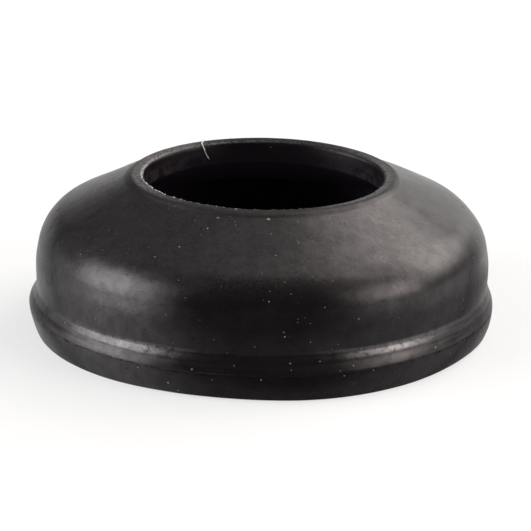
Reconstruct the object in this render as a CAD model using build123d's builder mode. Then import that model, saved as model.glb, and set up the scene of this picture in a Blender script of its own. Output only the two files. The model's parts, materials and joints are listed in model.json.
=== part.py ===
from build123d import *
import os
from math import cos, radians, tan

# Vent seal: one piece of moulded rubber. A low dome stands on an open foot, with a bead round the
# foot and a short round neck through the top. All of it is one section turned about the Z axis.
# Millimetres, +Z up. The origin is the centre of the foot, which stands on z = 0.

# Overall
height = 10.0                    # foot to the top of the lip
bead_diameter = 30.0             # widest, at the mould's parting line
neck_bore_diameter = 15.4

# Bead round the foot
parting_height = 1.72            # parting line above the foot
crown_height = 2.27              # where the rounded crown turns into the hollow flank
bead_height = 3.07               # where the hollow flank runs out into the side wall
bead_projection = 0.4            # how far the bead stands out from the side wall
flank_lean = 29.0                # degrees from upright where the crown turns into the hollow
foot_inset = 0.38                # how far the foot's outer edge lies inside the parting line

# Side wall and shoulder
wall_thickness = 1.6
lean_run = 2.5                   # height of the wall's leaning stretch, up to the roof line
lean_inset = 0.45                # how far the wall has leaned in when it meets the roof line
lean_radius = 5.0                # blend from the upright wall into its leaning stretch
shoulder_radius = 3.07           # outside only: the corner inside is sharp

# Conical roof
roof_angle = 26.3                # degrees below level
roof_thickness = 1.6

# Neck and its raised, rounded lip
lip_width = 0.81                 # top of the lip, between its two corners
lip_height = 0.292               # lip above the roof that carries it
lip_spread = 0.325               # how far the lip's flank runs outwards on its way down
lip_outer_radius = 0.55
lip_inner_radius = 0.35
neck_root_chamfer = 0.15         # lower end of the bore, under the roof

# Radii of the main faces
bead_r = bead_diameter / 2
wall_r = bead_r - bead_projection
inner_r = wall_r - wall_thickness
bore_r = neck_bore_diameter / 2
lip_r = bore_r + lip_width
lip_foot_r = lip_r + lip_spread


def roof_height(radius, depth=0.0):
    """Height of the roof's outer face at a radius, or of the face that lies depth under it."""
    fall = (radius - lip_foot_r) * tan(radians(roof_angle))
    return height - lip_height - fall - depth / cos(radians(roof_angle))


# Corners of the section as (radius, height), before they are rounded
foot_outer = (bead_r - foot_inset, 0)
parting = (bead_r, parting_height)
bead_top = (wall_r, bead_height)
crown_top = (wall_r + (bead_height - crown_height) * tan(radians(flank_lean / 2)), crown_height)
shoulder = (wall_r - lean_inset, roof_height(wall_r - lean_inset))
lean = (wall_r, shoulder[1] - lean_run)
lip_foot = (lip_foot_r, roof_height(lip_foot_r))
lip_outer = (lip_r, height)
lip_inner = (bore_r, height)
neck_root = (bore_r, roof_height(bore_r, roof_thickness))
inner_shoulder = (inner_r, roof_height(inner_r, roof_thickness))
mouth = (inner_r, 0)

rounded_corners = [
    (lean, lean_radius),
    (shoulder, shoulder_radius),
    (lip_outer, lip_outer_radius),
    (lip_inner, lip_inner_radius),
]

with BuildPart() as vent_seal:
    with BuildSketch(Plane.XZ) as section:
        with BuildLine():
            # The bead's lower face is a barrel, upright where it reaches the parting line
            TangentArc(parting, foot_outer, tangent=(0, -1))
            # Above the line a crown turns into a hollow that is upright again at the side wall
            hollow = TangentArc(bead_top, crown_top, tangent=(0, -1))
            TangentArc(crown_top, parting, tangent=hollow % 1)
            Polyline(bead_top, lean, shoulder, lip_foot, lip_outer, lip_inner, neck_root,
                     inner_shoulder, mouth, foot_outer)
        make_face()
        for corner, radius in rounded_corners:
            fillet(section.vertices().sort_by_distance(corner)[0], radius)
        chamfer(section.vertices().sort_by_distance(neck_root)[0], neck_root_chamfer)
    revolve(axis=Axis.Z)

vent_seal.part.label = "vent_seal"

os.makedirs("parts", exist_ok=True)
export_step(vent_seal.part, "parts/vent_seal.step")
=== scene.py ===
import json
import math
import random
from types import SimpleNamespace

import bpy
import numpy as np
from mathutils import Matrix, Vector, noise


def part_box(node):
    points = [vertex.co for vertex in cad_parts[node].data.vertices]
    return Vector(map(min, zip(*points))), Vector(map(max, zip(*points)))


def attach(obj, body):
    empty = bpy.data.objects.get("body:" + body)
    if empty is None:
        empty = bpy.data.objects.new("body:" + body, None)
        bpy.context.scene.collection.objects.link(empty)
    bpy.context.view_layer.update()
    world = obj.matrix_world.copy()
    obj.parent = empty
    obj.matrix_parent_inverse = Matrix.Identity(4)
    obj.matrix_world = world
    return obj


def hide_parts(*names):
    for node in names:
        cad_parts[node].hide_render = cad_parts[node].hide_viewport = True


# Looks of the vent seal: one closed skin of black rubber, turned from the solid's section, with the
# slight set of the real moulding, its trimmed flash and parting line, and dust and lint on it.
# Lengths are in millimetres and become metres where they are handed to Blender. On the seal,
# azimuth 0 is its right, 90 its back, 180 its left and -90 its front.

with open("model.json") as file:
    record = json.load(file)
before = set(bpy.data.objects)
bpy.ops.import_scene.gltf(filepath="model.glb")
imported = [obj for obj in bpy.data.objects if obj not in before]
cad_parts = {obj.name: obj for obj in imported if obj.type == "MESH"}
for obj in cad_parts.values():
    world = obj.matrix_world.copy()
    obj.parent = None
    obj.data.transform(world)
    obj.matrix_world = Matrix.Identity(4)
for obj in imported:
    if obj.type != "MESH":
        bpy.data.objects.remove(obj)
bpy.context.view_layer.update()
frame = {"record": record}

MM = 0.001
SEED = 7

# ---------------------------------------------------------------- sizes, in millimetres
box_low, box_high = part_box("vent_seal")
HEIGHT = (box_high.z - box_low.z) / MM
BEAD_R = (box_high.x - box_low.x) / 2 / MM
mounts = {m["name"]: m for m in frame["record"]["mounts"]}
BORE_R = mounts["neck_bore"]["dims"]["r_mm"]
INNER_R = mounts["skirt_bore"]["dims"]["r_mm"]

# Bead, from the foot up
FOOT_R = BEAD_R - 0.38
PARTING = 1.72                   # the mould's parting line, where the bead is widest
CROWN_TOP = 2.27                 # where the rounded crown turns into the hollow flank
BEAD_TOP = 3.07                  # where the hollow flank runs out into the side wall
FLANK_LEAN = math.radians(29)

# Side wall, shoulder and conical roof
WALL_R = BEAD_R - 0.4
WALL = WALL_R - INNER_R
LEAN_RUN = 2.5                   # height of the wall's leaning stretch
LEAN_FILLET = 5.0
SHOULDER_R = WALL_R - 0.45
SHOULDER_FILLET = 3.07
ROOF = math.tan(math.radians(26.3))

# Neck and lip
LIP_R = BORE_R + 0.81
LIP_FOOT_R = LIP_R + 0.325
LIP_FOOT_Z = HEIGHT - 0.292
LIP_OUTER_FILLET = 0.55
LIP_INNER_FILLET = 0.35
NECK_ROOT_FILLET = 0.15

# Fine roundings of corners that the solid keeps sharp
FOOT_FILLET = 0.12
LIP_FOOT_FILLET = 0.4
CEILING_FILLET = 0.06
MOUTH_FILLET = 0.08


def roof_z(r, depth=0.0):
    """Height of the roof's outer face at a radius, or of the face that lies depth under it."""
    return LIP_FOOT_Z - (r - LIP_FOOT_R) * ROOF - depth * math.hypot(1, ROOF)


# ---------------------------------------------------------------- section
CLOSE = 0.04                     # rings this close to the ends of a straight run keep it straight
SHORTEST_RUN = 0.12              # a straight run below this gets no rings of its own


def arc(centre, radius, start, end, steps):
    """Points on the shorter arc about centre between the directions of two points."""
    a = math.atan2(start[1] - centre[1], start[0] - centre[0])
    b = math.atan2(end[1] - centre[1], end[0] - centre[0])
    turn = (b - a + math.pi) % math.tau - math.pi
    return [(centre[0] + radius * math.cos(a + turn * i / steps),
             centre[1] + radius * math.sin(a + turn * i / steps)) for i in range(steps + 1)]


def corner(before, at, after, radius, steps):
    """The rounded corner at a point between two straight runs."""
    p, c, n = (np.array(x, float) for x in (before, at, after))
    u = (p - c) / np.linalg.norm(p - c)
    v = (n - c) / np.linalg.norm(n - c)
    half = math.acos(float(u @ v)) / 2
    reach = radius / math.tan(half)
    mid = c + (u + v) / np.linalg.norm(u + v) * radius / math.sin(half)
    return arc(mid, radius, c + u * reach, c + v * reach, steps)


def straight(start, end, spacing):
    """Points between the ends of a straight run, evenly spaced and one more close to each end."""
    length = math.dist(start, end)
    count = max(1, round(length / spacing))
    shares = [CLOSE / length] + [i / count for i in range(1, count)] + [1 - CLOSE / length]
    (a, b), (c, d) = start, end
    return [(a + (c - a) * t, b + (d - b) * t) for t in shares]


def section():
    """The closed section as (radius, height), from the foot's outer edge up and down inside."""
    # Lower face of the bead: a barrel that is upright at the parting line
    inset = BEAD_R - FOOT_R
    barrel_r = (PARTING ** 2 + inset ** 2) / (2 * inset)
    barrel_c = (BEAD_R - barrel_r, PARTING)
    foot_reach = math.sqrt((barrel_r - FOOT_FILLET) ** 2 - (PARTING - FOOT_FILLET) ** 2)
    foot_c = (barrel_c[0] + foot_reach, FOOT_FILLET)
    outwards = np.array(foot_c) - barrel_c
    meet = np.array(foot_c) + outwards / np.linalg.norm(outwards) * FOOT_FILLET
    foot = arc(foot_c, FOOT_FILLET, (foot_c[0], 0.0), meet, 6)
    parting = (BEAD_R, PARTING)
    barrel = arc(barrel_c, barrel_r, foot[-1], parting, 12)
    barrel[-1:] = [(BEAD_R, PARTING - 0.07), (BEAD_R, PARTING - 0.02), parting]

    # Upper face: a crown that leans in at once above the parting line, then turns into a hollow
    hollow_r = (BEAD_TOP - CROWN_TOP) / math.sin(FLANK_LEAN)
    hollow_c = (WALL_R + hollow_r, BEAD_TOP)
    crown_top = (hollow_c[0] - hollow_r * math.cos(FLANK_LEAN), CROWN_TOP)
    slope = math.atan2(BEAD_R - crown_top[0], CROWN_TOP - PARTING)
    crown_r = math.dist(parting, crown_top) / 2 / math.sin(FLANK_LEAN - slope)
    crown_c = (crown_top[0] - crown_r * math.cos(FLANK_LEAN),
               crown_top[1] - crown_r * math.sin(FLANK_LEAN))
    crown = arc(crown_c, crown_r, parting, crown_top, 11)
    crease = (WALL_R, BEAD_TOP)
    hollow = arc(hollow_c, hollow_r, crown_top, crease, 14)

    shoulder = (SHOULDER_R, roof_z(SHOULDER_R))
    lean = (WALL_R, shoulder[1] - LEAN_RUN)
    lip_foot = (LIP_FOOT_R, LIP_FOOT_Z)
    lip_outer = (LIP_R, HEIGHT)
    lip_inner = (BORE_R, HEIGHT)
    neck_root = (BORE_R, roof_z(BORE_R, WALL))
    ceiling = (INNER_R, roof_z(INNER_R, WALL))
    mouth = (INNER_R, 0.0)

    # Each stretch, with the spacing of the rings on the straight run that follows it
    stretches = [
        (foot, None),
        (barrel[1:], None),
        (crown[1:], None),
        (hollow[1:], 0.3),
        (corner(crease, lean, shoulder, LEAN_FILLET, 7), 0.3),
        (corner(lean, shoulder, lip_foot, SHOULDER_FILLET, 18), 0.32),
        (corner(shoulder, lip_foot, lip_outer, LIP_FOOT_FILLET, 5), 0.2),
        (corner(lip_foot, lip_outer, lip_inner, LIP_OUTER_FILLET, 10), 0.1),
        (corner(lip_outer, lip_inner, neck_root, LIP_INNER_FILLET, 14), 0.2),
        (corner(lip_inner, neck_root, ceiling, NECK_ROOT_FILLET, 4), 0.55),
        (corner(neck_root, ceiling, mouth, CEILING_FILLET, 3), 0.6),
        (corner(ceiling, mouth, foot[0], MOUTH_FILLET, 4), 0.3),
    ]
    points = []
    for (stretch, spacing), (following, _) in zip(stretches, stretches[1:] + stretches[:1]):
        points += stretch
        if spacing and math.dist(stretch[-1], following[0]) > SHORTEST_RUN:
            points += straight(stretch[-1], following[0], spacing)
    return np.array(points)


# ---------------------------------------------------------------- rubber surface
SEGMENTS = 544                   # points round each ring
LIP_SHIFT = 0.08                 # how far the lip stands to the right of the bead
LIP_TILT = 0.005                 # how far the lip sinks towards the right, for each millimetre
BURRS = 150                      # burrs of trimmed flash round the bore
BURRS_AT, BURRS_SPREAD = -118, 24    # azimuth that most of them lie round
FLASH_HEIGHT = 0.075             # height of the tallest burr
FLASH_DEPTH = 0.06               # how far it reaches into the bore
TRIM_DEPTH = 0.02                # how unevenly the bore's edge is trimmed
FLANK_ROLL = 0.05                # a slight roll that stands out on the bead's hollow flank
rng = random.Random(SEED)


def step(value, low, high):
    """0 below low and 1 above high, with a smooth rise between."""
    t = np.clip((value - low) / (high - low), 0, 1)
    return t * t * (3 - 2 * t)


def near(value, target, width):
    """1 at the target, falling smoothly to 0 at width from it."""
    return 1 - step(np.abs(value - target), 0, width)


def round_to(angles, target, width):
    """The same round the axis: angles are in radians, target and width in degrees."""
    return near((np.degrees(angles) - target + 180) % 360 - 180, 0, width)


def burrs(angles):
    """Height, 0 to 1, of the flash round the bore: dense at the front left, sparse elsewhere."""
    out = np.zeros(len(angles))
    for _ in range(BURRS):
        dense = rng.random() < 0.6
        at = rng.gauss(BURRS_AT, BURRS_SPREAD) if dense else rng.uniform(-180, 180)
        width = rng.uniform(0.06, 0.15) / BORE_R
        tall = rng.uniform(0.2, 1.0) * (1.0 if dense else 0.4)
        off = (angles - math.radians(at) + math.pi) % math.tau - math.pi
        out = np.maximum(out, tall * np.exp(-(off / width) ** 2))
    return out


def set_in_rubber(angles, r, z):
    """The slight set the soft part has taken: how far a ring's points move outwards and up."""
    def facing(target, width):
        return round_to(angles, target, width)

    def on_ring(rise_from, rise_to, fall_from, fall_to):
        """A ring of the shoulder or the roof, fading in and out between radii."""
        return step(r, rise_from, rise_to) * (1 - step(r, fall_from, fall_to)) * step(z, 6, 7)

    foot = 1 - step(z, 0.5, 2.4)
    over_bead = step(z, 2.4, 3.6)
    below_shoulder = 1 - step(z, 5.6, 7.4)

    # Outwards: the side wall on the right, the bead at both sides, its crown and flank, the foot
    out = 0.085 * (1 + np.cos(angles)) / 2 * over_bead * below_shoulder
    out += 0.022 * np.abs(np.cos(angles)) * (1 - over_bead)
    out -= 0.03 * near(z, 3.0, 0.8) + 0.06 * near(z, 2.5, 0.6) * facing(178, 60)
    out -= 0.15 * near(z, 2.1, 0.9) * facing(160, 24)
    out += 0.055 * near(z, 1.6, 1.0) * facing(190, 50)
    out += foot * (0.10 * facing(-68, 40) + 0.16 * facing(-78, 24)
                   + 0.03 * facing(-12, 22) - 0.03 * facing(188, 45))

    # Upwards: the foot's edge at the front, the shoulder at the back, the far lip, the left flank
    up = foot * (0.085 * facing(-106, 48) + 0.13 * facing(-28, 30))
    up += 0.16 * facing(34, 42) * on_ring(8.8, 10.9, 13.2, 14.5)
    up += 0.06 * facing(160, 28) * on_ring(12.7, 13.5, 14, 14.5)
    up -= 0.05 * facing(138, 24) * on_ring(10, 11, 12.3, 13.2)
    up += 0.03 * facing(90, 80) * step(z, 9.2, 9.8)
    up -= 0.05 * facing(200, 80) * near(z, 2.65, 0.75)
    return out, up


def waviness(points, frequency):
    """Smooth noise, -1 to 1, at each point; the frequency is per millimetre."""
    return np.array([noise.noise(p * frequency) for p in points])


def seal_points(rings):
    """The rings as a grid of points, with their set and every mark of the mould.

    The marks are the flash round the bore, a ledge under the parting line, a fold between the
    bead's crown and flank with a roll above it, and a slight waviness of the skin all over.
    """
    angles = np.arange(SEGMENTS) * math.tau / SEGMENTS
    before, after = np.roll(rings, 1, axis=0), np.roll(rings, -1, axis=0)
    tangent = (after - before) / np.linalg.norm(after - before, axis=1)[:, None]
    normal = np.stack([tangent[:, 1], -tangent[:, 0]], axis=1)
    flash = burrs(angles)
    trim = waviness([Vector((6 * math.cos(a), 6 * math.sin(a), 3.1)) for a in angles], 1)
    # The fold is shallower on the left and all but gone at the front right
    folded = 1 - 0.2 * round_to(angles, 205, 70) - 0.9 * round_to(angles, -42, 60)

    points = np.zeros((len(rings), SEGMENTS, 3))
    for k, (r, z) in enumerate(rings):
        inside = r < INNER_R + 0.2 and z < roof_z(r, 0.5)
        outside = r > BORE_R + 0.3 and not inside
        bore_edge = near(math.hypot(r - BORE_R - 0.1, z - HEIGHT + 0.1), 0, 0.2)
        neck = 1 - step(r, 9.3, 12.6) if z > 6.5 else 0.0    # the lip's shift fades down the roof
        out = up = bump = np.zeros(SEGMENTS)
        if outside:
            out, up = set_in_rubber(angles, r, z)
            at = [Vector((r * math.cos(a), r * math.sin(a), z)) for a in angles]
            # Broad and fine waviness, and the roll
            bump = (0.014 * waviness(at, 0.23) + 0.004 * waviness(at, 1.1)
                    + FLANK_ROLL * near(z, CROWN_TOP + 0.25, 0.34))
            if r < LIP_R:       # the rough flat of the lip
                bump += 0.007 * waviness(at, 5.5) * step(z, HEIGHT - 0.12, HEIGHT - 0.02)
            if r > WALL_R:      # the fold between crown and flank
                fold = near(z, CROWN_TOP + 0.03, 0.12)
                bump -= fold * (0.013 + 0.016 * waviness(at, 1.3)) * folded
            if r > WALL_R and z < PARTING - 0.01:    # the ledge under the parting line
                bump -= near(z, PARTING - 0.045, 0.1) * (0.012 + 0.03 * waviness(at, 3.1))
        out = out + normal[k, 0] * bump - bore_edge * (FLASH_DEPTH * flash + TRIM_DEPTH * trim)
        up = up + normal[k, 1] * bump + bore_edge * FLASH_HEIGHT * flash
        x = (r + out) * np.cos(angles) + neck * LIP_SHIFT
        y = (r + out) * np.sin(angles)
        points[k] = np.stack([x, y, np.maximum(z + up - neck * LIP_TILT * x, 0)], axis=1)
    return points


def add_piece(name, points, faces):
    """A smooth mesh object, from points in millimetres."""
    mesh = bpy.data.meshes.new(name)
    mesh.from_pydata([tuple(c * MM for c in p) for p in points], [], faces)
    mesh.polygons.foreach_set("use_smooth", [True] * len(mesh.polygons))
    mesh.update()
    piece = bpy.data.objects.new(name, mesh)
    bpy.context.scene.collection.objects.link(piece)
    return piece


def closed_skin(name, points):
    """One closed skin through rings of points that close on themselves both ways."""
    rows, cols = points.shape[:2]
    at = np.arange(rows * cols).reshape(rows, cols)
    right, up = np.roll(at, -1, axis=1), np.roll(at, -1, axis=0)
    quads = np.stack([at, right, np.roll(up, -1, axis=1), up], axis=-1).reshape(-1, 4)
    return add_piece(name, points.reshape(-1, 3).tolist(), quads.tolist())


rings = section()
seal = closed_skin("seal_body", seal_points(rings))


# ---------------------------------------------------------------- dust and lint
FINE_CRUMBS = 60
DUST_SIDES = 7
LINT_SIDES = 8
lip_profile = sorted((r, z) for r, z in rings if z > LIP_FOOT_Z - 0.1 and r > BORE_R + 0.1)
wall_profile = sorted((z, r) for r, z in rings if r > SHOULDER_R and z > 0.05)


def on_top(azimuth, r):
    """A point on the lip or the roof, at a radius, and the way out of it."""
    a = math.radians(azimuth)
    z = roof_z(r) if r > LIP_FOOT_R + 0.1 else float(np.interp(r, *zip(*lip_profile)))
    lean = ROOF if r > LIP_R else 0.1
    return (Vector((r * math.cos(a) + LIP_SHIFT, r * math.sin(a), z)),
            Vector((lean * math.cos(a), lean * math.sin(a), 1.0)))


def on_wall(azimuth, z):
    """A point on the side wall or the bead, at a height, and the way out of it."""
    a = math.radians(azimuth)
    r = float(np.interp(z, *zip(*wall_profile)))
    return Vector((r * math.cos(a), r * math.sin(a), z)), Vector((math.cos(a), math.sin(a), 0.1))


def dust():
    """Crumbs of dust, each a flat uneven flake half sunk in the surface."""
    # The crumbs that stand out in the photo, each a place and a size, and then a fine scatter
    spots = [
        (on_top(-108, 9.0), 0.08), (on_top(-102, 8.1), 0.09), (on_top(-88, 8.9), 0.12),
        (on_top(-141, 8.2), 0.06), (on_top(-154, 8.5), 0.06), (on_top(-174, 8.4), 0.07),
        (on_wall(-146, 2.6), 0.08), (on_wall(-138, 2.7), 0.07), (on_wall(-44, 2.0), 0.08),
        (on_wall(-106, 1.9), 0.07), (on_wall(-22, 1.2), 0.07), (on_top(-110, 9.9), 0.07),
        (on_top(-116, 11.6), 0.06), (on_wall(-112, 0.8), 0.06), (on_wall(-59, 1.3), 0.06),
        (on_wall(-81, 0.5), 0.06),
    ]
    for _ in range(FINE_CRUMBS):
        azimuth = rng.uniform(-180, 180)
        if rng.random() < 0.6:
            spot = on_wall(azimuth, rng.uniform(0.4, 5.5))
        else:
            spot = on_top(azimuth, rng.uniform(8.2, 12.5))
        spots.append((spot, rng.uniform(0.02, 0.04)))

    points, faces = [], []
    for (at, out), size in spots:
        out.normalize()
        turn = out.to_track_quat("Z", "Y")
        spin = rng.uniform(0, math.tau)
        stretch = rng.uniform(1.0, 1.6)
        first = len(points)
        for wide, tall in ((1.0, -0.15), (0.75, 0.4)):    # the flake's lower and upper edge
            for i in range(DUST_SIDES):
                t = i * math.tau / DUST_SIDES + spin
                reach = size * wide * rng.uniform(0.7, 1.15)
                flake = (reach * math.cos(t) * stretch, reach * math.sin(t) / stretch, size * tall)
                points.append(at + turn @ Vector(flake))
        points += [at + out * size * 0.55, at - out * size * 0.4]
        upper, tip, root = first + DUST_SIDES, first + 2 * DUST_SIDES, first + 2 * DUST_SIDES + 1
        for i in range(DUST_SIDES):
            j = (i + 1) % DUST_SIDES
            faces.append((first + i, first + j, upper + j, upper + i))
            faces.append((upper + i, upper + j, tip))
            faces.append((first + j, first + i, root))
    return add_piece("dust", points, faces)


def lint():
    """One tapering fibre: it lies across the far side of the lip and hangs down the bore."""
    # Its path on the rubber: azimuth, radius, height, and how far it has bent down. It crosses the
    # flat of the lip, follows the rounded inner edge (there the place is the rounding's centre),
    # and hangs from it
    edge_r, edge_z = BORE_R + LIP_INNER_FILLET, HEIGHT - LIP_INNER_FILLET
    path = [(118 + 3 * i / 8, edge_r + 0.45 * (1 - i / 8), HEIGHT, 0.0) for i in range(8)]
    path += [(121 + 0.6 * math.sin(math.pi * i / 9), edge_r, edge_z, math.pi / 2 * i / 9)
             for i in range(1, 9)]
    path += [(121 - 2.6 * (i / 13) ** 1.4, BORE_R, edge_z - 0.68 * i / 13, math.pi / 2)
             for i in range(14)]
    centres, widths = [], []
    for i, (azimuth, r, z, bend) in enumerate(path):
        width = 0.05 - 0.025 * i / len(path)
        reach = width + (LIP_INNER_FILLET if 0 < bend < math.pi / 2 else 0)
        a = math.radians(azimuth)
        r -= reach * math.sin(bend)
        centres.append(Vector((r * math.cos(a) + LIP_SHIFT, r * math.sin(a),
                               z + reach * math.cos(bend))))
        widths.append(width)

    points, faces = [], []
    for i, (centre, width) in enumerate(zip(centres, widths)):
        ahead = (centres[min(i + 1, len(centres) - 1)] - centres[max(i - 1, 0)]).normalized()
        side = ahead.cross(Vector((0.3, 0.9, 0.2))).normalized()
        for k in range(LINT_SIDES):
            t = k * math.tau / LINT_SIDES
            spoke = side * math.cos(t) + ahead.cross(side) * math.sin(t)
            points.append(centre + spoke * width)
        for k in range(LINT_SIDES if i else 0):
            here, there, j = i * LINT_SIDES, (i - 1) * LINT_SIDES, (k + 1) % LINT_SIDES
            faces.append((there + k, there + j, here + j, here + k))
    faces.append(tuple(reversed(range(LINT_SIDES))))
    faces.append(tuple(range(len(points) - LINT_SIDES, len(points))))
    return add_piece("lint", points, faces)


crumbs = dust()
fibre = lint()


# ---------------------------------------------------------------- node graphs
class Graph:
    """The nodes of one material. Its methods take sockets or plain values and give sockets."""

    def __init__(self, name):
        self.material = bpy.data.materials.new(name)
        self.material.use_nodes = True
        self.nodes = self.material.node_tree.nodes
        self.shader = self.nodes["Principled BSDF"]

    def put(self, socket, value):
        """Links a socket to the input, or sets it to a plain value."""
        if isinstance(value, bpy.types.NodeSocket):
            self.material.node_tree.links.new(value, socket)
        else:
            socket.default_value = value

    def add(self, kind, inputs=(), **settings):
        """A new node, with its settings and then its inputs, by name or by number."""
        node = self.nodes.new(kind)
        for key, value in settings.items():
            setattr(node, key, value)
        for key, value in dict(inputs).items():
            self.put(node.inputs[key], value)
        return node

    def millimetres(self):
        """Where a point lies in the object's own space, in millimetres."""
        place = self.add("ShaderNodeTexCoord").outputs["Object"]
        scale = self.add("ShaderNodeMapping", {"Vector": place, "Scale": (1 / MM,) * 3})
        return scale.outputs["Vector"]

    def xyz(self, vector):
        return tuple(self.add("ShaderNodeSeparateXYZ", {"Vector": vector}).outputs)

    def noise(self, place, scale, detail, roughness=0.5):
        """Cloudy noise, 0 to 1; the scale is per unit of the place."""
        return self.add("ShaderNodeTexNoise", {"Vector": place, "Scale": scale, "Detail": detail,
                                               "Roughness": roughness}).outputs["Fac"]

    def cells(self, place, scale):
        """Distance to the middle of the nearest cell, and that cell's random colour."""
        node = self.add("ShaderNodeTexVoronoi", {"Vector": place, "Scale": scale})
        return node.outputs["Distance"], node.outputs["Color"]

    def maths(self, operation, *values, clamp=False):
        return self.add("ShaderNodeMath", enumerate(values), operation=operation,
                        use_clamp=clamp).outputs["Value"]

    def times(self, product, *values):
        for value in values:
            product = self.maths("MULTIPLY", product, value)
        return product

    def plus(self, base, value, share):
        """The base with a share of the value added."""
        return self.maths("MULTIPLY_ADD", value, share, base)

    def without(self, value, share=1.0):
        """1, less a share of the value."""
        return self.maths("MULTIPLY_ADD", value, -share, 1.0)

    def between(self, value, start, end):
        """0 where the value is at start and 1 at end, smooth between; start may be the larger."""
        return self.add("ShaderNodeMapRange", {"Value": value, "From Min": start, "From Max": end},
                        interpolation_type="SMOOTHSTEP").outputs["Result"]

    def ramp(self, value, *stops):
        """A colour for each value, from (place, colour) stops; one number stands for a grey."""
        node = self.add("ShaderNodeValToRGB", {"Fac": value})
        elements = node.color_ramp.elements
        while len(elements) < len(stops):
            elements.new(0.5)
        for element, (place, colour) in zip(elements, stops):
            element.position = place
            element.color = (*(colour if isinstance(colour, tuple) else (colour,) * 3), 1)
        return node.outputs["Color"]

    def mix(self, factor, colour, other):
        """The colour, turning into the other one by the factor."""
        return self.add("ShaderNodeMix", {"Factor": factor, "A": colour, "B": (*other, 1)},
                        data_type="RGBA").outputs["Result"]

    def bump(self, height, strength, distance, under=None):
        """A normal with relief, over the normal under it if there is one."""
        inputs = {"Height": height, "Strength": strength, "Distance": distance * MM}
        if under:
            inputs["Normal"] = under
        return self.add("ShaderNodeBump", inputs).outputs["Normal"]


# ---------------------------------------------------------------- rubber, dust and lint materials
BLACKEST = (0.0039, 0.0032, 0.004)
BLACK = (0.005, 0.0041, 0.0049)
SMUDGE = (0.0072, 0.0062, 0.0065)
HAZE = (0.056, 0.0495, 0.0487)             # fine dust that has settled in the grain
# Painted shade: one flat colour for the hollow, the bore and the parting groove, whose gloss is cut
# as well
PAINTED_SHADE = (0.0085, 0.0062, 0.0088)          # rubber inside the hollow, the bore and the groove
BORE_SIDE_PATCHES = (0.021, 0.018, 0.0205)              # lighter patches on the sides of the bore, within its painted shade
LAND_DUST = (0.2, 0.195, 0.197)            # dust on the flat of the lip
CHALK_AND_HIGHLIGHT = (0.6, 0.595, 0.59)                 # tips of the trimmed flash, and a painted highlight along the bore's front edge
SPECK = (0.36, 0.35, 0.335)

ROUGH_LOW, ROUGH_HIGH = 0.26, 0.31
SPEC_FACING, SPEC_EDGE, SPEC_GRAZING = 0.05, 0.5, 0.06
SIDE_POLISH, BEAD_POLISH, CREST_POLISH, FOOT_POLISH = 0.4, 0.9, 1.5, 0.17


def rubber_places(g, mm):
    """Where a point of the seal lies: lengths in millimetres, and masks from 0 to 1."""
    x, y, height = g.xyz(mm)
    level = g.add("ShaderNodeVectorMath", {0: mm, 1: (1, 1, 0)}, operation="MULTIPLY")
    radius = g.add("ShaderNodeVectorMath", {0: level.outputs["Vector"]},
                   operation="LENGTH").outputs["Value"]
    across = g.maths("ABSOLUTE", x)
    patch_noise = g.noise(mm, 0.8, 4.0, 0.6)
    ragged = g.noise(mm, 2.6, 3.0, 0.7)

    # Painted shade: the hollow under the roof, the bore in patches and the parting line's groove
    # get one flat colour and lose most of their gloss
    under_roof = g.maths("SUBTRACT", roof_z(0), g.plus(height, radius, ROOF))
    hollow = g.times(g.between(under_roof, 0.5 * WALL, 0.8 * WALL),
                     g.between(radius, INNER_R + 0.6, INNER_R + 0.3))
    in_bore = g.between(radius, BORE_R + 0.42, BORE_R + 0.22)
    bore = g.times(in_bore, g.between(height, HEIGHT - 0.25, HEIGHT - 1.1),
                   g.plus(0.76, g.between(patch_noise, 0.4, 0.6), 0.24))
    off_groove = g.maths("ABSOLUTE", g.maths("SUBTRACT", height, PARTING - 0.05))
    groove = g.times(g.between(off_groove, 0.12, 0.0), g.between(radius, WALL_R, WALL_R + 0.1),
                     g.between(ragged, 0.4, 0.7))
    painted_shade = g.maths("MAXIMUM", g.maths("MAXIMUM", hollow, bore), groove)

    on_lip = g.times(g.between(radius, LIP_FOOT_R + 0.15, LIP_FOOT_R - 0.1),
                     g.between(height, HEIGHT - 1.6, HEIGHT - 0.9))
    on_land = g.times(g.between(radius, LIP_R + 0.05, LIP_R - 0.3),
                      g.between(height, HEIGHT - 0.14, HEIGHT - 0.05))
    on_rim = g.times(g.between(radius, BORE_R + 0.2, BORE_R + 0.02),
                     g.between(height, HEIGHT - 0.16, HEIGHT - 0.03))
    return SimpleNamespace(
        x=x, y=y, height=height, across=across, patch_noise=patch_noise, ragged=ragged, in_bore=in_bore,
        bore=bore, painted_shade=painted_shade, on_lip=on_lip, on_land=on_land, on_rim=on_rim)


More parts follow.
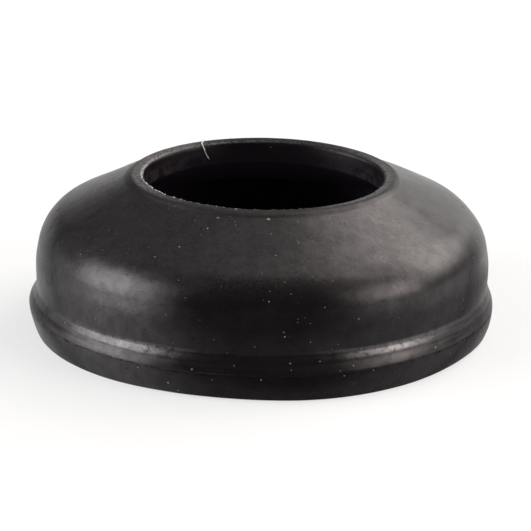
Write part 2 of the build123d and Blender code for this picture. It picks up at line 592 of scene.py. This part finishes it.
def rubber_colour(g, at, grain, blotch):
    """Black with faint smudges and a haze of dust, with painted shading in the hollow, the bore and
    the parting groove, lighter patches on the bore's sides, and chalky flash with a painted
    highlight along the bore's front edge.
    """
    colour = g.ramp(blotch, (0.3, BLACKEST), (0.5, BLACK), (0.72, SMUDGE))
    facing_up = g.xyz(g.add("ShaderNodeNewGeometry").outputs["Normal"])[2]
    settled = g.plus(0.12, g.between(facing_up, 0.35, 0.85), 0.8)
    colour = g.mix(g.times(g.ramp(grain, (0.42, 0.05), (0.75, 0.5)), settled), colour, HAZE)
    # Painted shade: the hollow, the bore and the groove take one flat colour
    colour = g.mix(at.painted_shade, colour, PAINTED_SHADE)
    # Lighter patches on the bore's left and right sides, lifting its painted shade there
    side_patches = g.times(g.between(at.patch_noise, 0.42, 0.58), g.between(at.across, 2.5, 6.5))
    colour = g.mix(g.times(side_patches, at.bore), colour, BORE_SIDE_PATCHES)

    # Dust on the flat of the lip, most at the sides and least from the near left to the far right
    diagonal = g.maths("ABSOLUTE", g.maths("ADD", at.x, at.y))
    sideways = g.between(g.plus(at.across, diagonal, -0.3), 0.0, 6.0)
    lying = g.times(g.plus(0.25, sideways, 0.75), g.between(grain, 0.25, 0.75))
    colour = g.mix(g.times(at.on_land, lying), colour, LAND_DUST)

    # Chalky tips of the trimmed flash, and a painted highlight along the bore's edge, most at the
    # front
    in_front = g.plus(0.2, g.between(at.y, 7.0, -4.0), 0.8)
    tips_and_highlight = g.times(in_front, g.between(grain, 0.42, 0.56))
    return g.mix(g.times(at.on_rim, tips_and_highlight), colour, CHALK_AND_HIGHLIGHT)


def rubber_specks(g, mm, at):
    """How strongly a speck of dust shows: in the middle of some cells, and of more in patches."""
    distance, cell = g.cells(mm, 2.4)
    lot = g.add("ShaderNodeSeparateColor", {"Color": cell}).outputs
    chance = g.plus(0.15, g.between(g.noise(mm, 0.2, 2.0), 0.35, 0.7), 0.45)
    kept = g.maths("LESS_THAN", lot["Red"], chance)
    inner = g.maths("LESS_THAN", distance, g.plus(0.04, lot["Green"], 0.075))
    return g.times(inner, kept, g.without(at.painted_shade, 0.9), g.plus(0.15, lot["Blue"], 0.45))


def rubber_gloss(g, mm, at):
    """Specular level: highest a little off the line of sight, and by how polished a place is."""
    facing = g.add("ShaderNodeLayerWeight", {"Blend": 0.5}).outputs["Facing"]
    sheen = g.ramp(facing, (0.05, SPEC_FACING), (0.19, SPEC_EDGE), (0.36, SPEC_EDGE),
                   (0.6, SPEC_GRAZING))

    # Duller where shade is painted (the hollow, the bore and the groove), on the lip and where the
    # lip turns into the bore, and in pits and patches
    turned = g.times(at.in_bore, g.between(at.height, HEIGHT - 0.02, HEIGHT - 0.1))
    lip = g.plus(g.times(at.on_lip, 0.2), at.on_land, 0.78)
    pit = g.between(g.cells(mm, 1.3)[0], 0.09, 0.05)
    patchy = g.between(g.noise(mm, 1.1, 6.0, 0.7), 0.3, 0.7)
    unshaded_and_clean = g.times(g.without(at.painted_shade, 0.93), g.without(lip), g.without(turned, 0.6),
                    g.without(pit, 0.75), g.plus(0.75, patchy, 0.5))

    # Bands of height, and the stretches of them that are glossier than the rest
    side = g.between(at.height, BEAD_TOP + 2.4, BEAD_TOP + 1.2)
    above_parting = g.between(at.height, PARTING - 0.02, PARTING + 0.12)
    below_parting = g.without(above_parting)
    bead = g.times(g.between(at.height, BEAD_TOP + 0.05, BEAD_TOP - 0.2), above_parting)
    crest = g.times(bead, g.between(at.height, CROWN_TOP + 0.03, CROWN_TOP + 0.25),
                    g.between(at.ragged, 0.3, 0.55))
    handled = g.times(g.between(at.x, -2.0, -11.0), side, g.without(bead))
    flanks = g.times(below_parting, g.between(at.across, 3.0, 11.0))
    wiped = g.times(g.without(side), g.between(at.x, 3.0, 8.0), g.between(at.y, -6.0, -2.0))
    buffed = g.times(crest, g.between(at.across, 3.0, 5.5), g.between(at.x, 12.5, 9.0),
                     g.between(at.x, -9.5, -7.0))
    polish = 1.0
    for place, change in (
        (side, SIDE_POLISH - 1),
        (bead, BEAD_POLISH - SIDE_POLISH),
        (crest, CREST_POLISH - BEAD_POLISH),
        (below_parting, FOOT_POLISH - SIDE_POLISH),
        (handled, 0.75),
        (flanks, 0.2),
        (wiped, 1.6),
        (buffed, 1.3),
    ):
        polish = g.plus(polish, place, change)
    return g.times(sheen, g.times(unshaded_and_clean, polish))


def rubber():
    """Satin black rubber, polished in places, with dust on it."""
    g = Graph("black_rubber")
    mm = g.millimetres()
    at = rubber_places(g, mm)
    grain = g.noise(mm, 9.0, 4.0, 0.7)
    blotch = g.noise(mm, 0.42, 5.0, 0.6)
    specks = rubber_specks(g, mm, at)
    g.put(g.shader.inputs["Base Color"],
          g.mix(specks, rubber_colour(g, at, grain, blotch), SPECK))

    # Rougher in the smudges, where shade is painted and where dust lies
    rough = g.times(at.painted_shade, 0.3)
    rough = g.plus(g.plus(rough, at.on_lip, 0.16), at.on_land, 0.25)
    rough = g.maths("ADD", g.ramp(blotch, (0.3, ROUGH_LOW), (0.7, ROUGH_HIGH)), rough)
    g.put(g.shader.inputs["Roughness"],
          g.maths("MULTIPLY_ADD", specks, 0.8, rough, clamp=True))
    g.put(g.shader.inputs["Specular IOR Level"], rubber_gloss(g, mm, at))
    g.put(g.shader.inputs["IOR"], 1.5)
    g.put(g.shader.inputs["Specular Tint"], (1.0, 0.94, 0.965, 1.0))

    # Relief: a fine grain over a soft unevenness
    uneven = g.bump(g.noise(mm, 1.6, 3.0, 0.55), 0.5, 0.03)
    g.put(g.shader.inputs["Normal"], g.bump(grain, 0.6, 0.018, uneven))
    return g.material


def pale_matter(name, dark, light, grain_scale):
    """Matt pale matter: dust, or lint."""
    g = Graph(name)
    grain = g.noise(g.millimetres(), grain_scale, 3.0)
    g.put(g.shader.inputs["Base Color"], g.ramp(grain, (0.35, dark), (0.65, light)))
    g.put(g.shader.inputs["Roughness"], 0.85)
    g.put(g.shader.inputs["Specular IOR Level"], 0.2)
    return g.material


black_rubber = rubber()
pale_dust = pale_matter("pale_dust", (0.14, 0.13, 0.125), (0.32, 0.31, 0.3), 9.0)
lint_fibre = pale_matter("lint_fibre", (0.42, 0.41, 0.4), (0.68, 0.67, 0.65), 12.0)
seal.data.materials.append(black_rubber)
crumbs.data.materials.append(pale_dust)
fibre.data.materials.append(lint_fibre)
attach(seal, "root")
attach(crumbs, "root")
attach(fibre, "root")
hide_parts("vent_seal")


# ---------------------------------------------------------------- floor and backdrop
GLOW = 0.62                      # share of the paper that the camera sees as plain white
UNDER = -0.01                    # the floor lies just under the foot: no two faces share a plane
FLOOR_REACH = 2000.0
BACKDROP_HEIGHT, CARD_HEIGHT = 240.0, 60.0


def paper_white():
    """Pale paper that camera and reflections see partly as white glow, so shadows are light."""
    g = Graph("paper_white")
    tint = g.ramp(g.noise(g.millimetres(), 0.9, 3.0), (0.3, 0.89), (0.7, 0.91))
    g.put(g.shader.inputs["Base Color"], tint)
    g.put(g.shader.inputs["Roughness"], 0.9)
    g.put(g.shader.inputs["Specular IOR Level"], 0.1)
    rays = g.add("ShaderNodeLightPath").outputs
    seen = g.maths("ADD", rays["Is Camera Ray"], rays["Is Glossy Ray"])
    seen = g.maths("ADD", seen, rays["Is Transmission Ray"], clamp=True)
    glow = g.add("ShaderNodeEmission", {"Strength": 1.0}).outputs["Emission"]
    paper = g.add("ShaderNodeMixShader",
                  {"Fac": g.times(seen, GLOW), 1: g.shader.outputs["BSDF"], 2: glow})
    g.put(g.nodes["Material Output"].inputs["Surface"], paper.outputs["Shader"])
    return g.material


def paper_sheet(name, corners):
    """A flat piece of the pale paper, from its four corners."""
    piece = add_piece(name, corners, [(0, 1, 2, 3)])
    piece.data.materials.append(paper)
    return piece


def upright_sheet(name, start, end, height):
    """A sheet of paper that stands on the floor between two points."""
    return paper_sheet(name, [(*start, UNDER), (*end, UNDER), (*end, height), (*start, height)])


paper = paper_white()
floor = paper_sheet("floor", [(x * FLOOR_REACH, y * FLOOR_REACH, UNDER)
                              for x, y in ((-1, -1), (1, -1), (1, 1), (-1, 1))])
# The backdrop stops on the left, where the seal's edge is darker; a low card closes the view there
backdrop = upright_sheet("backdrop", (-160.0, 450.0), (550.0, 450.0), BACKDROP_HEIGHT)
low_card = upright_sheet("low_card", (-500.0, 120.0), (-160.0, 450.0), CARD_HEIGHT)


# ---------------------------------------------------------------- light
NEUTRAL, WARM = (1, 1, 1), (1.0, 0.94, 0.9)
WORLD = (0.15, 0.15, 0.15, 1)


def softbox(name, azimuth, elevation, distance, wide, tall, radiance, tint):
    """A rectangular lamp that faces the seal, in metres. Azimuth 0 is straight behind, 90 right."""
    a, e = math.radians(azimuth), math.radians(elevation)
    lamp = bpy.data.lights.new(name, "AREA")
    lamp.shape = "RECTANGLE"
    lamp.size, lamp.size_y = wide, tall
    lamp.energy = radiance * math.pi * wide * tall
    lamp.color = tint
    away = Vector((math.sin(a) * math.cos(e), math.cos(a) * math.cos(e), math.sin(e)))
    piece = bpy.data.objects.new(name, lamp)
    piece.location = away * distance + Vector((0, 0, HEIGHT / 2 * MM))
    piece.rotation_mode = "QUATERNION"
    piece.rotation_quaternion = away.to_track_quat("Z", "Y")
    piece.visible_camera = False
    bpy.context.scene.collection.objects.link(piece)


softbox("softbox_left", -105, 17, 0.5, 0.44, 0.37, 5.5, NEUTRAL)
softbox("softbox_right", 53, 33, 0.5, 0.48, 0.32, 4.5, WARM)
softbox("softbox_right_top", 72, 62, 0.5, 0.42, 0.13, 2.5, WARM)
softbox("softbox_right_low", 116, 22, 0.5, 0.35, 0.24, 5.2, WARM)
softbox("softbox_left_back", -60, 38, 0.5, 0.40, 0.40, 0.12, NEUTRAL)
softbox("softbox_left_front", -142, 34, 0.5, 0.28, 0.30, 0.5, NEUTRAL)
softbox("softbox_right_front", 146, 34, 0.5, 0.24, 0.30, 0.5, WARM)
softbox("softbox_top", 20, 82, 0.6, 0.40, 0.40, 0.35, NEUTRAL)

world = bpy.data.worlds.new("studio")
world.use_nodes = True
world.node_tree.nodes["Background"].inputs["Color"].default_value = WORLD
bpy.context.scene.world = world

# ---------------------------------------------------------------- camera
CAMERA_AT = Vector((0, -168.478, 59.501)) * MM
LENS, SENSOR = 185.24, 36
PITCH, YAW, ROLL = 0.3195, 0.00154, 0.01077      # radians: down, to the right, and round the view

camera = bpy.data.objects.new("camera", bpy.data.cameras.new("camera"))
camera.data.sensor_width = SENSOR
camera.data.lens = LENS
camera.data.clip_start = 0.01
camera.data.clip_end = 10
ahead = Vector((math.sin(YAW) * math.cos(PITCH), math.cos(YAW) * math.cos(PITCH), -math.sin(PITCH)))
level = Vector((math.cos(YAW), -math.sin(YAW), 0))
side = level * math.cos(ROLL) + level.cross(ahead) * math.sin(ROLL)
top = level.cross(ahead) * math.cos(ROLL) - level * math.sin(ROLL)
turn = Matrix((side, top, -ahead)).transposed().to_4x4()
camera.matrix_world = Matrix.Translation(CAMERA_AT) @ turn
bpy.context.scene.collection.objects.link(camera)
bpy.context.scene.camera = camera
bpy.context.scene.view_settings.view_transform = "Standard"
